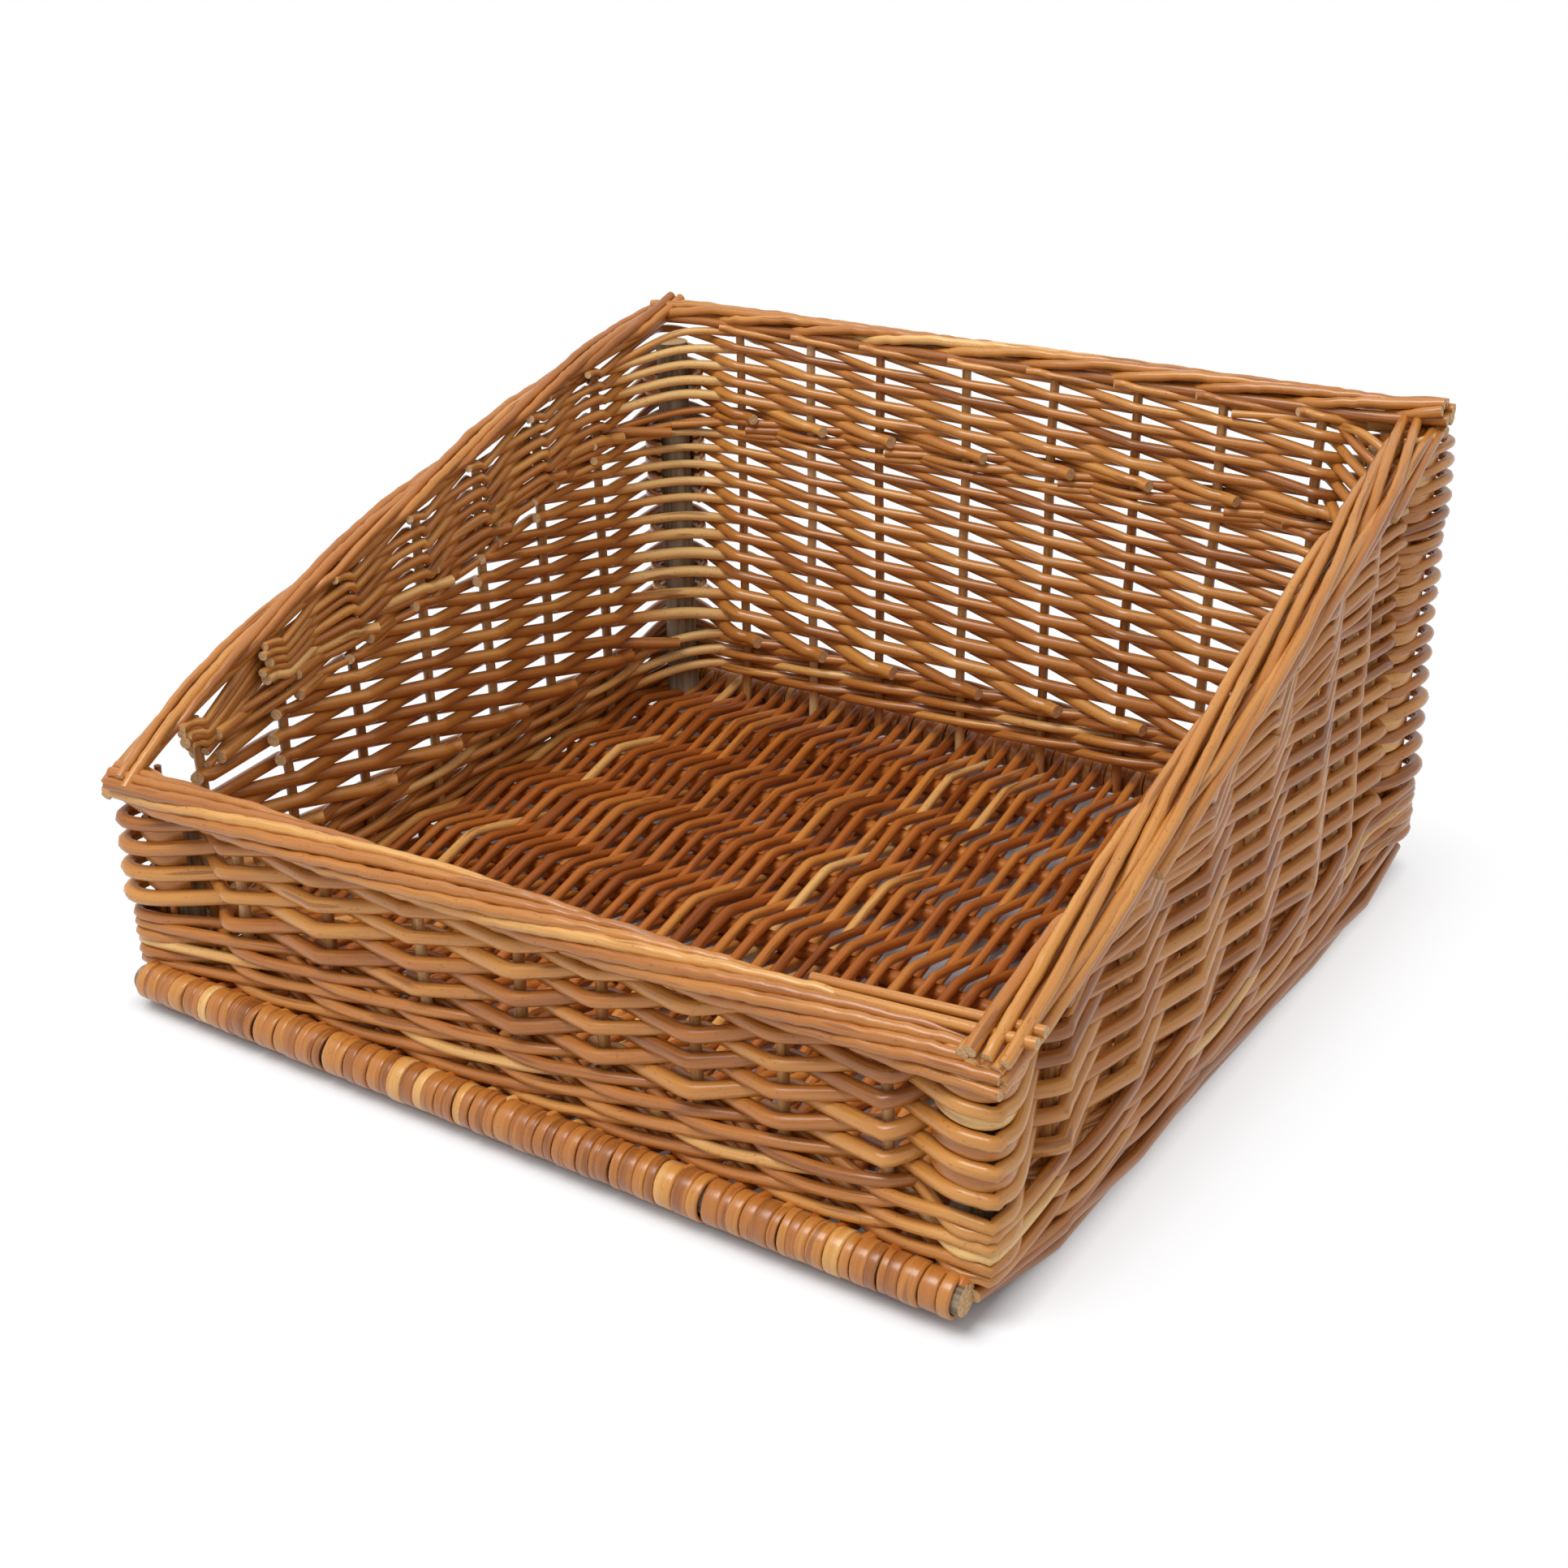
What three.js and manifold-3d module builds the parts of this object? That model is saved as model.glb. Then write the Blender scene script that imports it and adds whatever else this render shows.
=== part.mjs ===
// Shelf basket in square willow work: low front, high back and sides that slope between them.
// Millimetres, +Z up. X runs left to right along the front and Y runs from front to back.
// The origin is the middle of the footprint, on the surface that the basket stands on.

import * as THREE from 'three';
import { mergeVertices } from 'three/addons/utils/BufferGeometryUtils.js';
import Module from 'manifold-3d';

const wasm = await Module();
wasm.setup();

// Overall sizes, measured over the border
const borderWidth = 400;
const borderDepth = 380;
const frontHeight = 101;
const backHeight = 215;

// Border: rods laid side by side along the top edge, proud of the wall below
const borderBroad = 21;
const borderThick = 12;
const borderRods = 4;
const borderRodRise = 2;
const borderOverhang = 5;

// Rods of the walls
const weaverDia = 5.4;
const stakeDia = 4.8;
const postDia = 16.5;
const upsettHeight = 24;
const rowPitch = 10.4;
const rowGroove = 1.2;

// Where each wall's stakes stand, as shares of the way from its left post to its right, seen from outside
const stakeShares = {
  front: [0.116, 0.244, 0.373, 0.503, 0.604, 0.714, 0.811, 0.921],
  right: [0.091, 0.234, 0.383, 0.544, 0.702, 0.833, 0.938],
  back: [0.086, 0.207, 0.315, 0.428, 0.55, 0.678, 0.785, 0.898],
  left: [0.142, 0.269, 0.395, 0.518, 0.654, 0.785, 0.927],
};

// Base: sticks from left to right, with weavers over and under them from front to back
const baseStickDia = 8;
const baseStickCount = 6;
const baseStickInset = 1;
const baseWeaverDia = 5.5;
const baseProud = 3;
const restFlat = 6;
const footWeb = 1;

// Weavers of the floor between the walls, a little closer together at the left than at the right
const floorWeavers = 74;
const weaverSpread = 0.08;
const weaverGap = 0.6;
const weaverLap = 1;

// Rails: the thick end sticks of the base, covered by the turns of its weavers
const railStickDia = 11;
const railStickInset = 7;
const railStickShow = 5;
const railWrapThick = 3.7;
const railProud = 16;
const railTurns = 24;
const railTurnGroove = 0.8;
const railHollow = THREE.MathUtils.degToRad(50);

// Gap between pieces that touch, and the facets of round work
const clearance = 0.3;
const stakeSides = 8;
const stickSides = 12;
const wrapSides = 10;
const postSides = 16;
const spanSteps = 4;
const hollowSteps = 4;

// Places worked out from the sizes above
const wallOuterX = borderWidth / 2 - borderOverhang;
const wallOuterY = borderDepth / 2 - borderOverhang;
const wallThick = stakeDia + 2 * weaverDia;
const postRadius = postDia / 2;
const cornerRadius = postRadius + clearance + weaverDia;
const postX = wallOuterX - cornerRadius;
const postY = wallOuterY - cornerRadius;

const railRadius = railStickDia / 2 + clearance + railWrapThick;
const railY = wallOuterY + railProud - railRadius;
const baseWidth = 2 * (wallOuterX + baseProud);
const weaveHalf = baseStickDia / 2 + baseWeaverDia;
const baseMid = Math.max(railRadius, weaveHalf);
const baseTop = baseMid + weaveHalf;
const stickPitch = 2 * railY / (baseStickCount + 1);
const footZ = baseMid + baseStickDia / 2 + 2 * clearance + footWeb;
const floorX = wallOuterX - wallThick;
const floorY = railY - stickPitch / 2;

// Below the wall's full thickness: a rod on the far side of a stake, and rods that cross between two stakes
const farSideDepth = weaverDia - 4 * clearance;
const crossingDepth = (wallThick - weaverDia) / 2;

const upsettLow = baseTop + clearance;
const upsettTop = upsettLow + upsettHeight;

// Colours of buff willow, of the darker base and of the barky posts
const willow = { color: 0xb8783f, roughness: 0.5, metalness: 0 };
const stakeWillow = { color: 0x9a6233, roughness: 0.55, metalness: 0 };
const baseWillow = { color: 0x93592b, roughness: 0.55, metalness: 0 };
const bark = { color: 0x6f6450, roughness: 0.75, metalness: 0 };

function piece(name, geometry, finish) {
  const mesh = new THREE.Mesh(geometry, new THREE.MeshStandardMaterial(finish));
  mesh.name = name;
  return mesh;
}

// A closed geometry as a solid that can be joined and cut
function toSolid(geometry) {
  const bare = geometry.clone();
  bare.deleteAttribute('normal');
  bare.deleteAttribute('uv');
  const merged = mergeVertices(bare);
  return new wasm.Manifold(new wasm.Mesh({
    numProp: 3,
    vertProperties: new Float32Array(merged.attributes.position.array),
    triVerts: new Uint32Array(merged.index.array),
  }));
}

function toGeometry(solid) {
  const mesh = solid.getMesh();
  const geometry = new THREE.BufferGeometry();
  geometry.setAttribute('position', new THREE.BufferAttribute(mesh.vertProperties, 3));
  geometry.setIndex(new THREE.BufferAttribute(mesh.triVerts, 1));
  geometry.computeVertexNormals();
  return geometry;
}

function cut(geometry, cutters) {
  let solid = toSolid(geometry);
  for (const cutter of cutters) {
    solid = solid.subtract(toSolid(cutter));
  }
  return toGeometry(solid);
}

// An upright rod between two heights
function uprightRod(dia, sides, x, y, low, high) {
  const geometry = new THREE.CylinderGeometry(dia / 2, dia / 2, high - low, sides);
  geometry.rotateX(Math.PI / 2);
  geometry.translate(x, y, (low + high) / 2);
  return geometry;
}

// A rod from left to right, centred on the middle of the basket
function levelRod(dia, sides, length, y) {
  const geometry = new THREE.CylinderGeometry(dia / 2, dia / 2, length, sides);
  geometry.rotateZ(Math.PI / 2);
  geometry.translate(0, y, baseMid);
  return geometry;
}

// A closed skin through rings of points, with both ends capped.
// The outline is the ring's own flat shape, which the caps are divided by.
function loft(rings, outline) {
  const count = outline.length;
  const points = rings.flat();
  const index = [];
  for (let ring = 0; ring + 1 < rings.length; ring += 1) {
    for (let i = 0; i < count; i += 1) {
      const a = ring * count + i;
      const b = ring * count + (i + 1) % count;
      index.push(a, b, b + count, a, b + count, a + count);
    }
  }
  const last = (rings.length - 1) * count;
  for (const [a, b, c] of THREE.ShapeUtils.triangulateShape(outline, [])) {
    index.push(c, b, a, last + a, last + b, last + c);
  }
  const geometry = new THREE.BufferGeometry().setFromPoints(points);
  geometry.setIndex(index);
  geometry.computeVertexNormals();
  return geometry;
}

// A flat outline in (Y, Z) drawn out along X
function acrossBasket(shape, width) {
  const geometry = new THREE.ExtrudeGeometry(shape, { depth: width, bevelEnabled: false });
  geometry.translate(0, 0, -width / 2);
  geometry.applyMatrix4(new THREE.Matrix4().makeBasis(
    new THREE.Vector3(0, 1, 0), new THREE.Vector3(0, 0, 1), new THREE.Vector3(1, 0, 0)));
  return geometry;
}

const stakeLine = weaverDia + stakeDia / 2;

// Height of the border's top along the sloping sides
function sideTop(y) {
  return frontHeight + (backHeight - frontHeight) * (y / borderDepth + 0.5);
}

// Half the thickness of the base weave: full over a stick or a rail, one weaver between two
function weaveHalfAt(y) {
  const phase = (y + railY) / stickPitch;
  const fromStick = Math.abs(phase - Math.round(phase)) * stickPitch;
  if (fromStick <= restFlat / 2) {
    return weaveHalf;
  }
  const reach = (fromStick - restFlat / 2) / (stickPitch / 2 - restFlat / 2);
  const between = baseWeaverDia / 2;
  return between + (weaveHalf - between) * Math.cos(reach * Math.PI / 2);
}

// The section of the base weave from front to back, hollowed at both ends round the rails
function baseSection() {
  const seat = railRadius + clearance;
  const edge = railY - seat * Math.cos(railHollow);
  const line = [];
  for (let span = 0; span <= baseStickCount; span += 1) {
    const from = -railY + span * stickPitch + restFlat / 2;
    const reach = stickPitch - restFlat;
    for (let step = 0; step <= spanSteps; step += 1) {
      line.push(from + reach * step / spanSteps);
    }
  }
  const places = [-edge, ...line.filter((y) => Math.abs(y) < edge - clearance), edge];
  const lower = places.map((y) => new THREE.Vector2(y, baseMid - weaveHalfAt(y)));
  const upper = places.map((y) => new THREE.Vector2(y, baseMid + weaveHalfAt(y)));
  const hollow = (side) => Array.from({ length: hollowSteps + 1 }, (_, step) => {
    const angle = railHollow * (1 - 2 * step / hollowSteps);
    const y = side * (railY - seat * Math.cos(angle));
    return new THREE.Vector2(y, baseMid - side * seat * Math.sin(angle));
  });
  return new THREE.Shape([...lower, ...hollow(1), ...upper.reverse(), ...hollow(-1)]);
}

function baseStickY(i) {
  return -railY + (i + 1) * stickPitch;
}

// A weaver's outline from front to back, over every other stick and under the rest
function weaverOutline(firstOver) {
  const near = baseStickDia / 2 + 2 * clearance;
  const half = (weaveHalf - near) / 2;
  const end = floorY + weaverLap;
  const lower = [new THREE.Vector2(-end, baseMid - half)];
  const upper = [new THREE.Vector2(-end, baseMid + half)];
  for (let i = 0; i < baseStickCount; i += 1) {
    const over = (i % 2 === 0) === firstOver;
    lower.push(new THREE.Vector2(baseStickY(i), baseMid + (over ? near : -weaveHalf)));
    upper.push(new THREE.Vector2(baseStickY(i), baseMid + (over ? weaveHalf : -near)));
  }
  lower.push(new THREE.Vector2(end, baseMid - half));
  upper.push(new THREE.Vector2(end, baseMid + half));
  return [...lower, ...upper.reverse()];
}

// Where one weaver of the floor ends and the next begins
function weaverEdge(i) {
  const share = i / floorWeavers;
  return floorX * (2 * (share + weaverSpread * share * (share - 1)) - 1);
}

// The weavers between the walls, side by side, each with both ends in the edges of the base
function floorWeave() {
  return Array.from({ length: floorWeavers }, (_, i) => {
    const sides = [weaverEdge(i) + weaverGap / 2, weaverEdge(i + 1) - weaverGap / 2];
    const outline = weaverOutline(i % 2 === 0);
    const rings = sides.map((x) => outline.map((point) => new THREE.Vector3(x, point.x, point.y)));
    return toSolid(loft(rings, outline));
  });
}

// The woven base: its edges under the walls, bored for the sticks and with a seat for each stake and post,
// and the weavers of the floor between them
function baseWeave() {
  const section = baseSection();
  for (let i = 0; i < baseStickCount; i += 1) {
    const bore = new THREE.Path();
    bore.absarc(baseStickY(i), baseMid, baseStickDia / 2 + clearance, 0, 2 * Math.PI, true);
    section.holes.push(new THREE.Path(bore.getPoints(stickSides).slice(0, -1)));
  }
  const seats = [];
  const seatLow = footZ - clearance;
  const seatDia = stakeDia + 2 * clearance;
  for (const wall of walls) {
    for (const u of stakePlaces(wall)) {
      const seat = uprightRod(seatDia, stakeSides, u, -wall.outer + stakeLine, seatLow, upsettTop);
      seats.push(seat.rotateZ(wall.turn));
    }
  }
  for (const x of [-postX, postX]) {
    for (const y of [-postY, postY]) {
      seats.push(uprightRod(postDia + 2 * clearance, postSides, x, y, seatLow, upsettTop));
    }
  }
  const floorOpening = new THREE.BoxGeometry(2 * floorX, 2 * floorY, 4 * baseTop);
  const edges = cut(acrossBasket(section, baseWidth), [...seats, floorOpening]);
  return toGeometry(wasm.Manifold.union([toSolid(edges), ...floorWeave()]));
}

// The turns of the base weavers round a rail: a sleeve with a groove between every two turns
function railWrap(y) {
  const length = baseWidth - 2 * railStickInset - 2 * railStickShow;
  const bore = (railStickDia / 2 + clearance) / Math.cos(Math.PI / wrapSides);
  const turn = length / railTurns;
  const profile = [new THREE.Vector2(bore, -length / 2)];
  for (let i = 0; i < railTurns; i += 1) {
    const low = -length / 2 + i * turn;
    profile.push(new THREE.Vector2(railRadius - railTurnGroove, low));
    profile.push(new THREE.Vector2(railRadius, low + turn / 2));
  }
  profile.push(new THREE.Vector2(railRadius - railTurnGroove, length / 2));
  profile.push(new THREE.Vector2(bore, length / 2));
  profile.push(profile[0].clone());
  const geometry = new THREE.LatheGeometry(profile, wrapSides);
  geometry.rotateZ(Math.PI / 2);
  geometry.translate(0, y, baseMid);
  return geometry;
}

// A wall is built as seen from outside: u to the right along it, v inwards, and then turned into place.
// Its rods run straight between the posts and go round the outside of each post, half way to the next wall.
function wallStations(outer, postAlong) {
  const postInner = (postRadius + clearance) / Math.cos(Math.PI / 8);
  const mitre = Math.PI / 4 - Math.asin(clearance / (2 * postRadius));
  const postV = -outer + cornerRadius;
  const left = [];
  for (const angle of [-mitre, -mitre / 2, 0]) {
    left.push({
      outer: new THREE.Vector2(Math.sin(angle), -Math.cos(angle)).multiplyScalar(cornerRadius),
      inner: new THREE.Vector2(Math.sin(angle), -Math.cos(angle)).multiplyScalar(postInner),
    });
  }
  const shoulder = postInner * Math.SQRT1_2;
  left.push({
    outer: new THREE.Vector2(shoulder, -cornerRadius),
    inner: new THREE.Vector2(shoulder, -shoulder),
  });
  const start = postInner + 4 * clearance;
  left.push({
    outer: new THREE.Vector2(start, -cornerRadius),
    inner: new THREE.Vector2(start, wallThick - cornerRadius),
  });
  const place = (corner, mirror) => ({
    outer: new THREE.Vector2(mirror * (corner.outer.x - postAlong), corner.outer.y + postV),
    inner: new THREE.Vector2(mirror * (corner.inner.x - postAlong), corner.inner.y + postV),
  });
  const right = left.slice().reverse();
  return [...left.map((corner) => place(corner, 1)), ...right.map((corner) => place(corner, -1))];
}

// Stations of a close wale, which hides the stakes
function waleStations(wall) {
  const stations = wallStations(wall.outer, wall.postAlong);
  return stations.map((station) => ({ ...station, ridge: 0, groove: rowGroove }));
}

// Stations of the siding: at each stake its rods pass outside and inside in turn, and between two they cross
function sidingStations(wall) {
  const ends = waleStations(wall);
  const left = ends.slice(0, ends.length / 2);
  const right = ends.slice(ends.length / 2);
  const stations = [];
  const add = (u, ridge, groove) => stations.push({
    outer: new THREE.Vector2(u, -wall.outer),
    inner: new THREE.Vector2(u, -wall.outer + wallThick),
    ridge,
    groove,
  });
  let before = left[left.length - 1].outer.x;
  for (const u of stakePlaces(wall)) {
    add((before + u) / 2, crossingDepth, crossingDepth);
    add(u, 0, farSideDepth);
    before = u;
  }
  add((before + right[0].outer.x) / 2, crossingDepth, crossingDepth);
  return [...left, ...stations, ...right];
}

// A woven panel between two heights: each row is a ridge outside with a groove above and below it,
// and the inside has its ridges where the outside has grooves
function wovenPanel(stations, low, high, rows) {
  const levels = Array.from({ length: 2 * rows + 1 }, (_, level) => level);
  const height = (level) => low + (high - low) * level / (2 * rows);
  const outside = (station, level) => (level % 2 ? station.ridge : station.groove);
  const inside = (station, level) => (level % 2 ? station.groove : station.ridge);
  const downwards = levels.slice().reverse();
  const outline = [
    ...levels.map((level) => new THREE.Vector2(wallThick - inside(stations[0], level), height(level))),
    ...downwards.map((level) => new THREE.Vector2(outside(stations[0], level), height(level))),
  ];
  const rings = stations.map((station) => {
    const inwards = station.inner.clone().sub(station.outer).normalize();
    const onInner = levels.map((level) => {
      const at = station.inner.clone().addScaledVector(inwards, -inside(station, level));
      return new THREE.Vector3(at.x, at.y, height(level));
    });
    const onOuter = downwards.map((level) => {
      const at = station.outer.clone().addScaledVector(inwards, outside(station, level));
      return new THREE.Vector3(at.x, at.y, height(level));
    });
    return [...onInner, ...onOuter];
  });
  return loft(rings, outline);
}

// What lies above the underside of a sloping border
function aboveBorder(wall) {
  const reach = wall.postAlong + postDia + weaverDia;
  const top = backHeight + frontHeight;
  const shape = new THREE.Shape([
    new THREE.Vector2(-reach, wall.underside(-reach) - clearance),
    new THREE.Vector2(reach, wall.underside(reach) - clearance),
    new THREE.Vector2(reach, top),
    new THREE.Vector2(-reach, top),
  ]);
  const geometry = new THREE.ExtrudeGeometry(shape, { depth: 2 * wall.outer, bevelEnabled: false });
  geometry.rotateX(Math.PI / 2);
  geometry.translate(0, wall.outer, 0);
  return geometry;
}

// One side of the border: rods side by side on a flat underside, mitred at both corners
function borderSide(wall) {
  const rodBroad = borderBroad / borderRods;
  const section = [new THREE.Vector2(0, -borderThick / 2)];
  for (let rod = 0; rod < borderRods; rod += 1) {
    section.push(new THREE.Vector2((rod + 0.5) * rodBroad, 0));
    if (rod + 1 < borderRods) {
      section.push(new THREE.Vector2((rod + 1) * rodBroad, -borderRodRise));
    }
  }
  section.push(new THREE.Vector2(borderBroad, -borderThick / 2));
  section.push(new THREE.Vector2(borderBroad - borderRodRise, -borderThick));
  section.push(new THREE.Vector2(borderRodRise, -borderThick));
  section.reverse();
  const outerEdge = -(wall.outer + borderOverhang);
  const rings = [-1, 1].map((end) => section.map((point) => {
    const u = end * (wall.borderAlong - point.x - clearance);
    return new THREE.Vector3(u, outerEdge + point.x, wall.underside(u) + borderThick + point.y);
  }));
  return loft(rings, section);
}

function stakePlaces(wall) {
  return stakeShares[wall.name].map((share) => (2 * share - 1) * wall.postAlong);
}

function buildWall(wall) {
  const group = new THREE.Group();
  group.rotation.z = wall.turn;
  const stakeV = -wall.outer + stakeLine;
  const bores = [];
  stakePlaces(wall).forEach((u, i) => {
    const lowestCover = Math.min(wall.underside(u - stakeDia / 2), wall.underside(u + stakeDia / 2));
    const stake = uprightRod(stakeDia, stakeSides, u, stakeV, footZ, lowestCover - clearance);
    group.add(piece(`stake_${wall.name}_${i + 1}`, stake, stakeWillow));
    bores.push(uprightRod(stakeDia + 2 * clearance, stakeSides, u, stakeV, 0, backHeight));
  });
  const upsettRows = Math.max(1, Math.round(upsettHeight / (baseWeaverDia + rowGroove)));
  const upsett = wovenPanel(waleStations(wall), upsettLow, upsettTop, upsettRows);
  group.add(piece(`upsett_${wall.name}`, cut(upsett, bores), willow));

  const low = upsettTop + clearance;
  const high = wall.highest - borderThick - clearance;
  const sidingRows = Math.max(1, Math.round((high - low) / rowPitch));
  const siding = wovenPanel(sidingStations(wall), low, high, sidingRows);
  const cutters = wall.sloping ? [...bores, aboveBorder(wall)] : bores;
  group.add(piece(`siding_${wall.name}`, cut(siding, cutters), willow));
  group.add(piece(`border_${wall.name}`, borderSide(wall), willow));
  return group;
}

const walls = [
  {
    name: 'front', turn: 0, outer: wallOuterY, postAlong: postX, borderAlong: borderWidth / 2,
    highest: frontHeight, underside: () => frontHeight - borderThick,
  },
  {
    name: 'right', turn: Math.PI / 2, outer: wallOuterX, postAlong: postY, borderAlong: borderDepth / 2,
    highest: backHeight, sloping: true, underside: (u) => sideTop(u) - borderThick,
  },
  {
    name: 'back', turn: Math.PI, outer: wallOuterY, postAlong: postX, borderAlong: borderWidth / 2,
    highest: backHeight, underside: () => backHeight - borderThick,
  },
  {
    name: 'left', turn: -Math.PI / 2, outer: wallOuterX, postAlong: postY, borderAlong: borderDepth / 2,
    highest: backHeight, sloping: true, underside: (u) => sideTop(-u) - borderThick,
  },
];

const base = new THREE.Group();
const railStickLength = baseWidth - 2 * railStickInset;
for (const [name, y] of [['front', -railY], ['back', railY]]) {
  base.add(piece(`rail_stick_${name}`, levelRod(railStickDia, stickSides, railStickLength, y), bark));
  base.add(piece(`rail_wrap_${name}`, railWrap(y), willow));
}
for (let i = 0; i < baseStickCount; i += 1) {
  const stick = levelRod(baseStickDia, stickSides, baseWidth - 2 * baseStickInset, baseStickY(i));
  base.add(piece(`base_stick_${i + 1}`, stick, baseWillow));
}
base.add(piece('base_weave', baseWeave(), baseWillow));

const posts = new THREE.Group();
for (const [end, y] of [['front', -postY], ['back', postY]]) {
  for (const [side, x] of [['left', -postX], ['right', postX]]) {
    const cover = Math.min(sideTop(y - postRadius), end === 'front' ? frontHeight : backHeight);
    const post = uprightRod(postDia, postSides, x, y, footZ, cover - borderThick - clearance);
    posts.add(piece(`corner_post_${end}_${side}`, post, bark));
  }
}

const basket = new THREE.Group();
basket.add(base, posts, ...walls.map(buildWall));

export default basket;
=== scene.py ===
import math
import random

import bpy
import numpy as np
from mathutils import Matrix, Vector


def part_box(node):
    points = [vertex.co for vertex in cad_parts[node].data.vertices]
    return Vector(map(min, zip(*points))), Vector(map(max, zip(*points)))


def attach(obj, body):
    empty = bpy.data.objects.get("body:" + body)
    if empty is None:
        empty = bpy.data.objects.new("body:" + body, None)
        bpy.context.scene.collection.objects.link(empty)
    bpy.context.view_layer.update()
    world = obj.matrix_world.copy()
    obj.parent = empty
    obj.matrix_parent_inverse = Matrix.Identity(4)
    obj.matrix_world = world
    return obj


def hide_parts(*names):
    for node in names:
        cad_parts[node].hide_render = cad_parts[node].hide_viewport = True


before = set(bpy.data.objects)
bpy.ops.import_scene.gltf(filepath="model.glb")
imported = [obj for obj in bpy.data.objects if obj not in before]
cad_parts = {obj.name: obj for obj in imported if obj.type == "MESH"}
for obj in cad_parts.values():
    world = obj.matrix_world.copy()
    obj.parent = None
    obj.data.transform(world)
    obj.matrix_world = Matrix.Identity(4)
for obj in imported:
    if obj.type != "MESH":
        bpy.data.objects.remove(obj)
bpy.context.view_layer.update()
print("frame loaded:", len(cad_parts), "nodes")

toMetres = 0.001
toMillimetres = 1000


# a socket that can be used in Python expressions
class Wire:
    def __init__(self, tree, socket=None):
        self.tree = tree
        self.socket = socket

    def node(self, kind, settings=None, sockets=None, out=0):
        made = self.tree.nodes.new(kind)
        for key, value in (settings or {}).items():
            setattr(made, key, value)
        for key, value in (sockets or {}).items():
            if isinstance(value, Wire):
                self.tree.links.new(value.socket, made.inputs[key])
            else:
                made.inputs[key].default_value = value
        return Wire(self.tree, made.outputs[out] if len(made.outputs) else None)

    def other(self, out):
        return Wire(self.tree, self.socket.node.outputs[out])

    def maths(self, operation, *values, clamp=False):
        settings = {"operation": operation, "use_clamp": clamp}
        return self.node("ShaderNodeMath", settings, dict(enumerate(values)))

    def __add__(self, value):
        return self.maths("ADD", self, value)

    __radd__ = __add__

    def __sub__(self, value):
        return self.maths("SUBTRACT", self, value)

    def __rsub__(self, value):
        return self.maths("SUBTRACT", value, self)

    def __mul__(self, value):
        return self.maths("MULTIPLY", self, value)

    __rmul__ = __mul__

    def ramp(self, low, high):
        return self.maths("MULTIPLY", self - low, 1 / (high - low), clamp=True)

    def mixed(self, first, second):
        sockets = {0: self, 6: first, 7: second}
        return self.node("ShaderNodeMix", {"data_type": "RGBA"}, sockets, out=2)

    def vector(self, operation, *values, out=0):
        sockets = dict(enumerate((self, *values)))
        return self.node("ShaderNodeVectorMath", {"operation": operation}, sockets, out)

    def noise(self, amounts, detail):
        sockets = {"Vector": self.vector("MULTIPLY", amounts), "Scale": 1.0, "Detail": detail}
        sockets["Roughness"] = 0.55
        return self.node("ShaderNodeTexNoise", {"noise_dimensions": "3D"}, sockets)


def newMaterial(name):
    material = bpy.data.materials.new(name)
    material.use_nodes = True
    material.node_tree.nodes.clear()
    return material, Wire(material.node_tree)


def closeMaterial(start, look, colour, pattern, height):
    bump = {"Strength": look["bump"], "Distance": look["bumpHeight"], "Height": height}
    normal = start.node("ShaderNodeBump", None, bump)
    roughness = look["smooth"] + pattern * look["rough"]
    sockets = {"Base Color": colour, "Roughness": roughness, "Normal": normal,
               "Coat Weight": look.get("coat", 0.0), "Coat Roughness": 0.22,
               "Specular IOR Level": look.get("gloss", 0.4)}
    shader = start.node("ShaderNodeBsdfPrincipled", None, sockets)
    start.node("ShaderNodeOutputMaterial", None, {"Surface": shader})


# peeled rods: each has its own tone, with streaks along it, dark specks and leaf scars
willowLook = {
    "wall": {"dark": (0.20, 0.056, 0.010, 1), "warm": (0.465, 0.163, 0.028, 1),
             "tan": (0.63, 0.280, 0.058, 1), "pale": (0.80, 0.49, 0.175, 1),
             "coat": 0.4, "gloss": 0.45},
    "stake": {"dark": (0.17, 0.055, 0.014, 1), "warm": (0.34, 0.13, 0.036, 1),
              "tan": (0.55, 0.29, 0.10, 1), "pale": (0.76, 0.50, 0.24, 1),
              "coat": 0.1, "gloss": 0.35},
    "base": {"dark": (0.20, 0.046, 0.006, 1), "warm": (0.44, 0.122, 0.018, 1),
             "tan": (0.60, 0.235, 0.045, 1), "pale": (0.76, 0.43, 0.14, 1),
             "coat": 0.1, "gloss": 0.25},
}
# scale along and round the rod and detail of each pattern, and how much it shows
grainLook = {"patches": ((16, 0.8, 0.8), 2.0), "patchShare": 0.55,
             "streaks": ((45, 3.2, 3.2), 4.0), "streakShare": 0.4,
             "specks": ((520, 2.6, 2.6), 1.0), "speckRange": (0.66, 0.74), "speckShare": 0.45,
             "scars": ((30, 0.9, 0.9), 0.0), "scarRange": (0.70, 0.76), "scarShare": 0.6,
             "warmRange": (0.05, 0.4), "tanRange": (0.42, 0.72), "paleRange": (0.75, 1.05),
             "ridge": 0.6, "pit": 0.5, "bump": 0.35, "bumpHeight": 0.0005,
             "smooth": 0.24, "rough": 0.18}


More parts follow.
